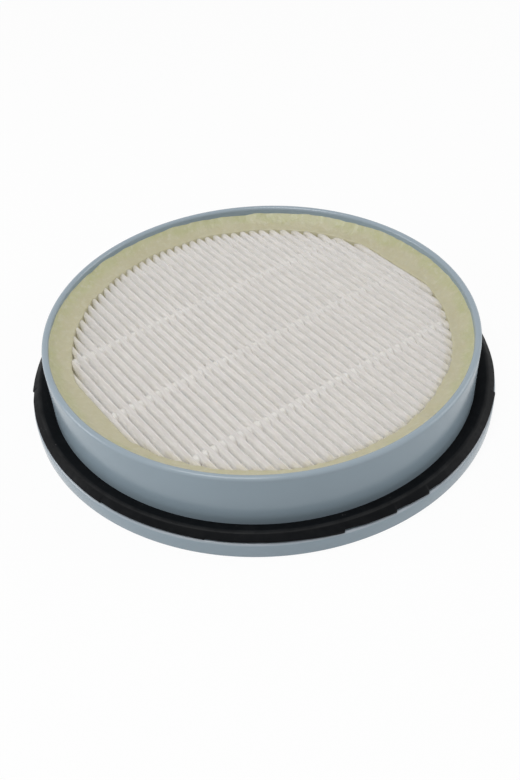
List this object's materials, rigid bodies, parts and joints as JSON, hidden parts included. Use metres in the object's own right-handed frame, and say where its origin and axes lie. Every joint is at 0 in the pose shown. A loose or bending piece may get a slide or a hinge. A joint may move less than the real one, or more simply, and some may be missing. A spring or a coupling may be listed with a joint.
{
  "type": "vacuum hepa filter",
  "caption": "Round pleated paper filter potted into a moulded plug-in housing with a domed rubber seal on its flange, for a vacuum cleaner's exhaust air",
  "frame": {"origin": "on the filter's axis, at the foot of the skirt that it stands on", "axes": "+Z along the axis, out of the open face of the pleats; Y along the folds; X across them"},
  "size_m": [0.129, 0.129, 0.021],
  "materials": {
    "housing_plastic": "pale blue-grey moulded plastic, satin",
    "seal_rubber": "black moulded rubber, smooth with a soft sheen",
    "potting_adhesive": "cast yellowish adhesive, slightly glossy and uneven",
    "filter_paper": "off-white fibrous filter paper, matt",
    "spacer_glue": "off-white hot-melt adhesive, waxy"
  },
  "bodies": {
    "root": {"filter_housing": "housing_plastic", "seal_ring": "seal_rubber", "potting_ring": "potting_adhesive", "pleated_media": "filter_paper", "upper_glue_row_1": "spacer_glue", "upper_glue_row_2": "spacer_glue", "upper_glue_row_3": "spacer_glue", "upper_glue_row_4": "spacer_glue", "lower_glue_row_1": "spacer_glue", "lower_glue_row_2": "spacer_glue", "lower_glue_row_3": "spacer_glue", "lower_glue_row_4": "spacer_glue"}
  },
  "joints": []
}
